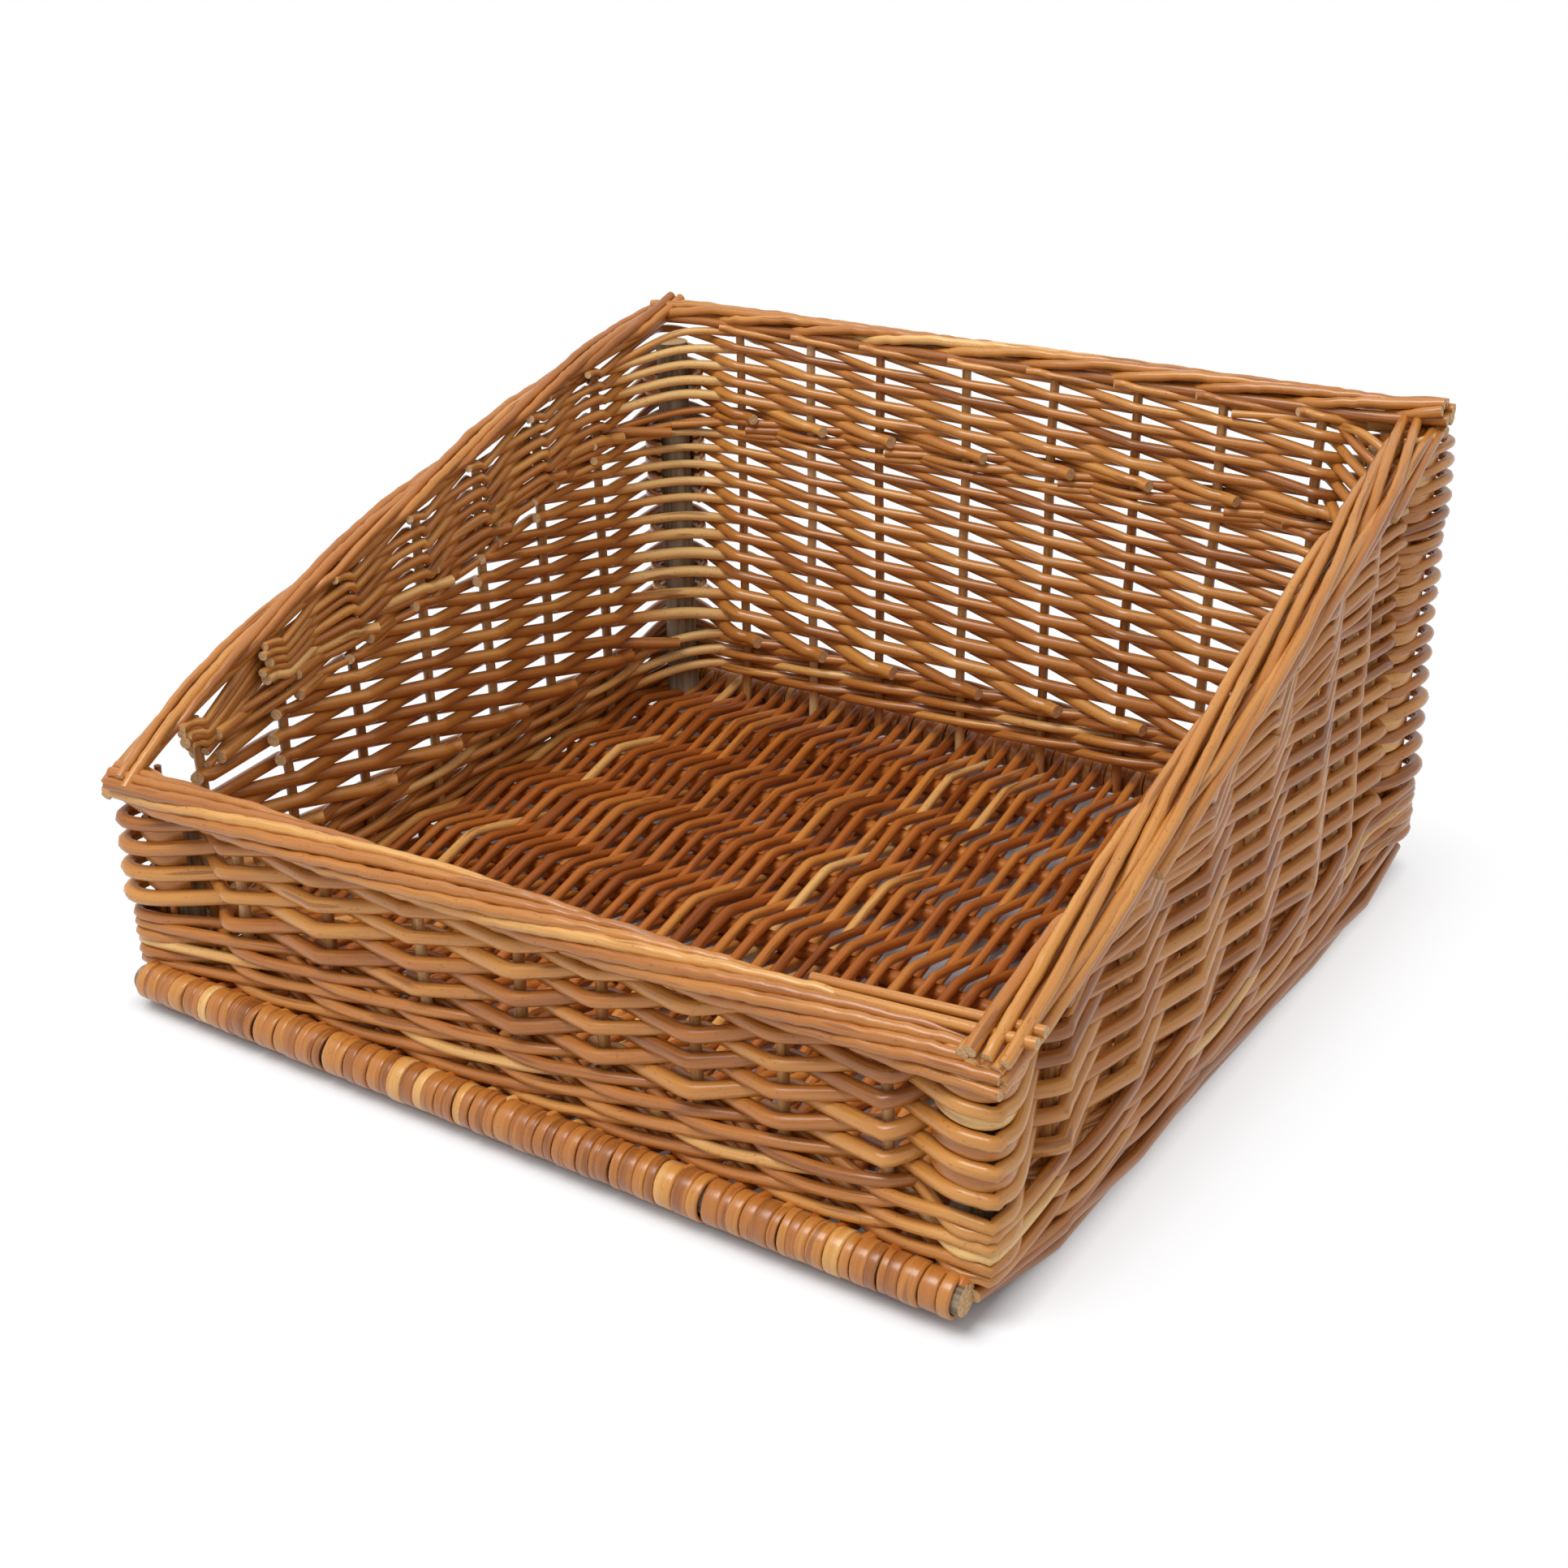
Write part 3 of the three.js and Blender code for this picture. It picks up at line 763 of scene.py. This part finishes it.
# base: sticks from side to side, and weavers over and under them that end at the rails
baseLook = {"seed": 31, "placeSeed": 32, "sides": 10, "step": 4.4, "skin": "base",
            "tones": (0.05, 0.8, 0.07), "tipShare": 0.94, "floorWeavers": 74, "spread": 0.08,
            "floor": 179.4, "edge": 199.5, "edgeFullness": 6,
            "thin": 1.7, "usual": 2.3, "thick": 2.9, "wander": 0.9, "uneven": 0.35,
            "press": 0.5, "rest": 5, "lump": 1.06, "footing": 1.35,
            "railWave": 0.5, "railLift": 0.5, "railIn": 0.4,
            "railAngles": ((80, 3.6), (58, 1.4), (34, 0))}
stickLook = {"sides": 14, "step": 6.0, "skin": "base", "tones": (0.2, 0.6, 0.1), "radius": 4.0,
             "tipShare": 0.93, "end": 186.0, "wander": 0.8, "uneven": 0.3, "points": 9}
# weavers under the side walls: place, height above the middle of the base, and how much each waves
edgeWeavers = ((181.6, 0.3, 0.9), (184.6, 0.8, 0.8), (187.4, 1.4, 0.6), (190.4, 4.4, 0.35),
               (190.8, -1.6, 0.4), (193.2, 7.0, 0.2), (194.4, 2.4, 0.25), (195.8, -1.6, 0.22),
               (194.6, -5.0, 0.14))
# the outer ones start tucked in behind the front rail and end unevenly at the back one
edgeLook = {"skin": "wall", "wander": 0.9, "uneven": 0.8, "tuck": (1.0, 3.0), "tuckIn": 2.5,
            "tuckUp": 0.4, "start": (2, 16), "endOut": 2.0, "end": 4, "short": {1: 8, -1: 26}}
railLook = {"seed": 41, "sides": 14, "step": 2.0, "skin": "wall", "tones": (0.15, 0.65, 0.08),
            "thickness": 0.36, "outer": 8.3, "endOuter": 7.4, "fullness": 5, "turns": 72,
            "reach": 187.0, "inset": 1.2, "broad": (3.0, 9.0, 4.4), "stand": (-0.3, 0.2),
            "slant": 0.9, "points": 18}
railStickLook = {"sides": 18, "step": 6.0, "skin": "bark", "tone": 0.4, "radius": 5.5,
                 "end": 189.6, "points": 12}
baseStickNodes = sorted(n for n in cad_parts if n.startswith("base_stick_"))
railMid = centreOf("rail_stick_front")
railReach = abs(railMid[1]) - railLook["inset"]
baseMid = railMid[2]


# each weaver's place, height and wave, from the left side to the right
def weaverPlaces():
    look = baseLook
    share = (np.arange(look["floorWeavers"]) + 0.5) / look["floorWeavers"]
    inner = look["floor"] * (2 * (share + look["spread"] * share * (share - 1)) - 1)
    left = [(-x, height, wave) for x, height, wave in reversed(edgeWeavers)]
    return [*left, *[(x, 0, 1) for x in inner], *edgeWeavers]


def baseHeight(y):
    return baseMid + bowLook["rail"] * (1 - bow(y))


def railOuter(x):
    middle = 1 - abs(x / railStickLook["end"]) ** railLook["fullness"]
    return railLook["endOuter"] + (railLook["outer"] - railLook["endOuter"]) * middle


# over a stick or a rail at 1, under it at -1; the ends sink between the turns round the rail
def baseWeaver(x, height, wave, radius, side, pick):
    look, edge = baseLook, edgeLook
    hand = math.copysign(1, x)
    atRail = wave > look["railWave"]
    ring = railOuter(x) - look["railIn"]
    turns = look["railAngles"] if atRail else ()
    railZ = baseHeight(railReach) + height * look["railLift"]
    lowest = radius * look["lump"] + look["footing"]
    points = []
    if not atRail:
        tuck = pick.uniform(*edge["tuck"])
        y = -railReach + pick.uniform(*edge["start"])
        z = baseHeight(railReach) + height + tuck * edge["tuckUp"]
        points.append((x - hand * (tuck + edge["tuckIn"]), y, z))
    for angle, sunk in turns:
        a, far = side * math.radians(angle), ring - sunk
        points.append((x, -railReach + far * math.cos(a), railZ + far * math.sin(a)))
    for node in baseStickNodes:
        side = -side
        y = centreOf(node)[1]
        bowed = abs(np.interp(y, bowLook["baseY"], bowLook["baseOut"]))
        outwards = hand * bowed * (abs(x) / look["edge"]) ** look["edgeFullness"]
        place = x + outwards + jitter(pick, look["wander"]) * wave
        lift = height + side * wave * (stickLook["radius"] + radius - look["press"])
        lift += jitter(pick, look["uneven"])
        if not atRail:
            place += jitter(pick, edge["wander"])
            lift += jitter(pick, edge["uneven"])
        for step in (-look["rest"], look["rest"]):
            points.append((place, y + step, max(lowest, baseHeight(y) + lift)))
    side = -side
    for angle, sunk in reversed(turns):
        a, far = side * math.radians(angle), ring - sunk
        points.append((x, railReach - far * math.cos(a), railZ + far * math.sin(a)))
    if not atRail:
        y = railReach + edge["end"] - pick.uniform(0, 1) * edge["short"][hand]
        points.append((x + hand * edge["endOut"], y, baseHeight(railReach) + height))
    return rod(points, radius, radius * look["tipShare"], pickTone(pick, *look["tones"]))


def makeBase():
    look = baseLook
    pick = random.Random(look["placeSeed"])
    sticks = []
    for node in baseStickNodes:
        y = centreOf(node)[1]
        points = []
        for x in np.linspace(-stickLook["end"], stickLook["end"], stickLook["points"]):
            shift = jitter(pick, stickLook["wander"])
            lift = jitter(pick, stickLook["uneven"])
            points.append((x, y + shift, baseHeight(y) + lift))
        tone = pickTone(pick, *stickLook["tones"])
        tip = stickLook["radius"] * stickLook["tipShare"]
        sticks.append(rod(points, stickLook["radius"], tip, tone))
    makeRods("baseSticks", sticks, {**look, **stickLook}, baseStickNodes)
    weavers, edges = [], []
    for number, (x, height, wave) in enumerate(weaverPlaces()):
        radius = pick.triangular(look["thin"], look["thick"], look["usual"])
        made = baseWeaver(x, height, wave, radius, 1 if number % 2 else -1, pick)
        (weavers if wave > look["railWave"] else edges).append(made)
    makeRods("baseWeavers", weavers, look, ["base_weave"])
    makeRods("baseEdges", edges, {**look, "skin": edgeLook["skin"]}, ["base_weave"])


# rails: the end sticks of the base, covered by the pressed turns of its weavers
def railTurn(x, y, z, size, pick):
    look = railLook
    radius = size / 2
    ring = railOuter(x) - radius * look["thickness"] + pick.uniform(*look["stand"])
    slant = jitter(pick, look["slant"])
    points, facing = [], []
    for step in range(look["points"]):
        a = 2 * math.pi * step / look["points"]
        points.append((x + slant * math.cos(a), y + ring * math.cos(a), z + ring * math.sin(a)))
        facing.append((0, math.cos(a), math.sin(a)))
    return rod(points, radius, radius, pickTone(pick, *look["tones"]), True, facing)


def makeRails():
    look, stick = railLook, railStickLook
    for end, way in (("front", -1), ("back", 1)):
        pick = random.Random(look["seed"] + way)
        y = way * railReach
        z = baseHeight(y)
        broad = np.array([pick.triangular(*look["broad"]) for _ in range(look["turns"])])
        broad *= 2 * look["reach"] / broad.sum()
        places = np.cumsum(broad) - broad / 2 - look["reach"]
        turns = [railTurn(x, y, z, size, pick) for x, size in zip(places, broad)]
        makeRods("railTurns_" + end, turns, look, ["rail_wrap_" + end])
        points = [(x, y, z) for x in np.linspace(-stick["end"], stick["end"], stick["points"])]
        bare = rod(points, stick["radius"], stick["radius"], stick["tone"])
        makeRods("railStick_" + end, [bare], {**look, **stick}, ["rail_stick_" + end])


# border: each upright's rod comes up outside, crosses over the top along the wall and ends inside;
# on the sides every second rod begins with a cut end on top
borderLook = {"seed": 51, "sides": 12, "step": 3.0, "skin": "wall", "tones": (0.25, 0.75, 0.08),
              "sizes": (0.92, 1.08), "points": 60, "cornerReach": 26.0, "uneven": 1.6,
              "before": 6, "shortest": 24.0, "shift": 0.08, "lean": 0.9, "wobble": 0.35}
# a rod's run: stakes passed, distance from the outside and height below the top
longRun = {"along": (-0.3, 0.3, 1.0, 1.8, 2.6, 3.5, 4.4, 5.0, 5.4), "butt": 2.4, "tip": 2.1,
           "across": (9.0, 3.6, 2.4, 2.6, 4.6, 8.6, 13.0, 15.0, 10.0),
           "drop": (-15, -12.2, -9.4, -6.0, -3.4, -2.4, -2.4, -5.2, -8.6)}
sideRun = {"along": (-1.0, -0.3, 0.5, 1.2, 1.9, 2.7, 3.5, 4.2, 4.7), "butt": 2.3, "tip": 2.0,
           "across": (2.6, 2.4, 2.4, 3.2, 6.4, 11.4, 15.6, 17.0, 11.0),
           "drop": (-13.5, -11.0, -7.8, -4.9, -2.8, -2.3, -2.6, -5.0, -8.4)}
lateRun = {"along": (1.5, 1.9, 2.3, 2.9, 3.6, 4.2, 4.7), "butt": 2.3, "tip": 2.1,
           "across": (6.6, 8.0, 9.8, 12.6, 15.8, 17.0, 11.0),
           "drop": (-8.6, -5.6, -3.4, -2.5, -2.8, -5.0, -8.4)}
# liners fill the border from end to end, each at its distance from the outside and its drop
linerLook = {"radius": 2.4, "tipShare": 0.9, "tones": (0.2, 0.7, 0.05), "short": 2, "points": 14,
             "wander": 0.9, "wobble": 0.7, "long": ((8.0, -8.6), (13.0, -8.6)),
             "side": ((8.4, -8.2), (13.4, -8.2), (4.6, -7.0), (3.6, -11.6))}
borderRuns = {"long": (longRun, longRun), "side": (sideRun, lateRun)}
# where each wall's border ends, its lift at both ends, and how far out and up it stands
borderWalls = {
    "front": {"kind": "long", "ends": (-200.5, 198.6), "lift": (2.2, -1.6), "stand": (0, 0)},
    "right": {"kind": "side", "ends": (-188, 184), "lift": (1.6, -2.6), "stand": (0, 0)},
    "back": {"kind": "long", "ends": (-204.0, 198.6), "lift": (2.4, -1.6), "stand": (0, 0.6)},
    "left": {"kind": "side", "ends": (-188, 190), "lift": (1.6, -2.0), "stand": (1.6, 1.4)},
}
# front rods that run past the right corner and end there
cornerLook = {"radius": 2.1, "buttShare": 0.9, "tones": (0.4, 0.8, 0.1), "points": 6,
              "rods": (((120, -171, 98.2), (203.5, -170, 104.6)),
                       ((120, -176, 97.6), (203.5, -175.6, 103.2)))}


# a place on a wall's border: along it from the middle, across it from outside, and below its top
def onBorder(wall, u, across, drop):
    shape, normal = borderWalls[wall], outward[wall]
    isSide = shape["kind"] == "side"
    breadth = width if isSide else depth
    out, rise = shape["stand"]
    swell = out + (bowLook["out"] * bow(u) if isSide else 0)
    at = turned(normal) * u + normal * (breadth / 2 - across + swell)
    top = topOf(wall, at[1])
    (low, high), (first, last) = shape["lift"], shape["ends"]
    low *= max(0, 1 - (u - first) / borderLook["cornerReach"])
    high *= max(0, 1 - (last - u) / borderLook["cornerReach"])
    return np.array((at[0], at[1], top + drop + low + high + rise))


def borderRods(wall, pick):
    look = borderLook
    shape = borderWalls[wall]
    stakes = [u["at"] @ turned(outward[wall]) for u in stakesIn(wall)]
    pitch = (stakes[-1] - stakes[0]) / (len(stakes) - 1)
    more = pitch * np.arange(1, look["before"] + 1)
    starts = np.concatenate([stakes[0] - more[::-1], stakes, stakes[-1] + more])
    rods = []
    for number in range(look["before"] + len(stakes)):
        run = borderRuns[shape["kind"]][number % 2]
        shift = jitter(pick, look["shift"])
        lean = jitter(pick, look["lean"])
        first = shape["ends"][0] + pick.uniform(0, look["uneven"])
        last = shape["ends"][1] - pick.uniform(0, look["uneven"])
        points = []
        for t in np.linspace(run["along"][0], run["along"][-1], look["points"]):
            u = np.interp(number + t + shift, np.arange(len(starts)), starts)
            across = float(np.interp(t, run["along"], run["across"])) + lean
            wobble = jitter(pick, look["wobble"])
            drop = float(np.interp(t, run["along"], run["drop"])) + wobble
            if first <= u <= last:
                points.append(onBorder(wall, u, across, drop))
        butt = run["butt"] * pick.uniform(*look["sizes"])
        tone = pickTone(pick, *look["tones"])
        if points and np.linalg.norm(points[-1] - points[0]) > look["shortest"]:
            rods.append(rod(points, butt, run["tip"], tone))
    return rods


def borderLiners(wall, pick):
    look, shape = linerLook, borderWalls[wall]
    first, last = shape["ends"]
    rods = []
    for across, drop in look[shape["kind"]]:
        points = []
        for u in np.linspace(first + look["short"], last - look["short"], look["points"]):
            shift = jitter(pick, look["wander"])
            wobble = jitter(pick, look["wobble"])
            points.append(onBorder(wall, u, across + shift, drop + wobble))
        tone = pickTone(pick, *look["tones"])
        rods.append(rod(points, look["radius"], look["radius"] * look["tipShare"], tone))
    return rods


def cornerRods(pick):
    look = cornerLook
    rods = []
    for start, end in np.array(look["rods"], float):
        points = [start + (end - start) * share for share in np.linspace(0, 1, look["points"])]
        tone = pickTone(pick, *look["tones"])
        rods.append(rod(points, look["radius"] * look["buttShare"], look["radius"], tone))
    return rods


def makeBorder():
    pick = random.Random(borderLook["seed"])
    for wall in wallOrder:
        rods = borderRods(wall, pick) + borderLiners(wall, pick)
        if wall == "front":
            rods += cornerRods(pick)
        makeRods("border_" + wall + "_rods", rods, borderLook, ["border_" + wall])


makeUpsett()
makeSiding()
makePacking()
makeStakes()
makePosts()
makeBase()
makeRails()
makeBorder()

# pale floor that is white away from the basket's shadow
floorLook = {"size": 30.0, "colour": (0.62, 0.62, 0.64, 1), "lift": 0.45, "under": 0.03,
             "near": 0.015, "foot": (0.19, 0.19, 0.0), "fade": 0.06}
white = (1, 1, 1, 1)
black = (0, 0, 0, 1)


def seenBy(start, kind):
    rays = start.node("ShaderNodeLightPath")
    return rays.maths("MAXIMUM", rays.other("Is Camera Ray"), rays.other(kind))


def makeFloor():
    look = floorLook
    half = look["size"] / 2
    corners = [(-half, -half, 0), (half, -half, 0), (half, half, 0), (-half, half, 0)]
    mesh = bpy.data.meshes.new("floor")
    mesh.from_pydata(corners, [], [(0, 1, 2, 3)])
    material, start = newMaterial("paleFloor")
    seen = seenBy(start, "Is Glossy Ray")
    place = start.node("ShaderNodeTexCoord", out="Object").vector("ABSOLUTE")
    place = place.vector("SUBTRACT", look["foot"]).vector("MAXIMUM", (0, 0, 0))
    away = place.vector("LENGTH", out="Value")
    openFloor = away.ramp(0, look["fade"]) * seen
    matt = start.node("ShaderNodeBsdfDiffuse", None, {"Color": look["colour"]})
    lift = (away.ramp(0, look["near"]) * look["lift"] + look["under"]) * seen
    glow = start.node("ShaderNodeEmission", None,
                      {"Color": lift.mixed(black, white), "Strength": 1.0})
    near = start.node("ShaderNodeAddShader", None, {0: matt, 1: glow})
    bright = start.node("ShaderNodeEmission", None, {"Color": white, "Strength": 1.0})
    both = start.node("ShaderNodeMixShader", None, {0: openFloor, 1: near, 2: bright})
    start.node("ShaderNodeOutputMaterial", None, {"Surface": both})
    mesh.materials.append(material)
    floor = bpy.data.objects.new("floor", mesh)
    bpy.context.scene.collection.objects.link(floor)


# soft light from all round, with a large softbox above the front
lightLook = {"sky": 0.73, "softbox": (-0.22, -0.65, 1.6), "aim": (0, 0, 0.08), "size": 0.8,
             "power": 17.0}


def makeLight():
    look = lightLook
    world = bpy.data.worlds.new("studio")
    bpy.context.scene.world = world
    world.use_nodes = True
    world.node_tree.nodes.clear()
    start = Wire(world.node_tree)
    seen = seenBy(start, "Is Transmission Ray")
    strength = look["sky"] + seen * (1 - look["sky"])
    sky = start.node("ShaderNodeBackground", None, {"Color": white, "Strength": strength})
    start.node("ShaderNodeOutputWorld", None, {"Surface": sky})
    lamp = bpy.data.lights.new("softbox", "AREA")
    lamp.shape = "SQUARE"
    lamp.size = look["size"]
    lamp.energy = look["power"]
    holder = bpy.data.objects.new("softbox", lamp)
    holder.location = look["softbox"]
    holder.rotation_mode = "QUATERNION"
    ahead = Vector(look["aim"]) - holder.location
    holder.rotation_quaternion = ahead.to_track_quat("-Z", "Y")
    bpy.context.scene.collection.objects.link(holder)


# the photograph's view
cameraLook = {"focal": 2632.854, "frame": 1932, "sensor": 36, "pitch": 25.2484, "yaw": -33.7611,
              "roll": -0.8845, "at": (0.444306, -0.670399, 0.447906), "far": 100}


def makeCamera():
    look = cameraLook
    pitch, yaw, roll = (math.radians(look[key]) for key in ("pitch", "yaw", "roll"))
    flat = math.cos(pitch)
    ahead = Vector((math.sin(yaw) * flat, math.cos(yaw) * flat, -math.sin(pitch)))
    level = Vector((math.cos(yaw), -math.sin(yaw), 0))
    above = level.cross(ahead)
    right = math.cos(roll) * level + math.sin(roll) * above
    up = -math.sin(roll) * level + math.cos(roll) * above
    turn = Matrix((right, up, -ahead)).transposed()
    data = bpy.data.cameras.new("camera")
    data.sensor_width = look["sensor"]
    data.lens = look["sensor"] * look["focal"] / look["frame"]
    data.clip_end = look["far"]
    camera = bpy.data.objects.new("camera", data)
    camera.matrix_world = Matrix.Translation(look["at"]) @ turn.to_4x4()
    bpy.context.scene.collection.objects.link(camera)
    bpy.context.scene.camera = camera


makeFloor()
makeLight()
makeCamera()
bpy.context.scene.view_settings.view_transform = "Standard"
print("stage, light and camera set")
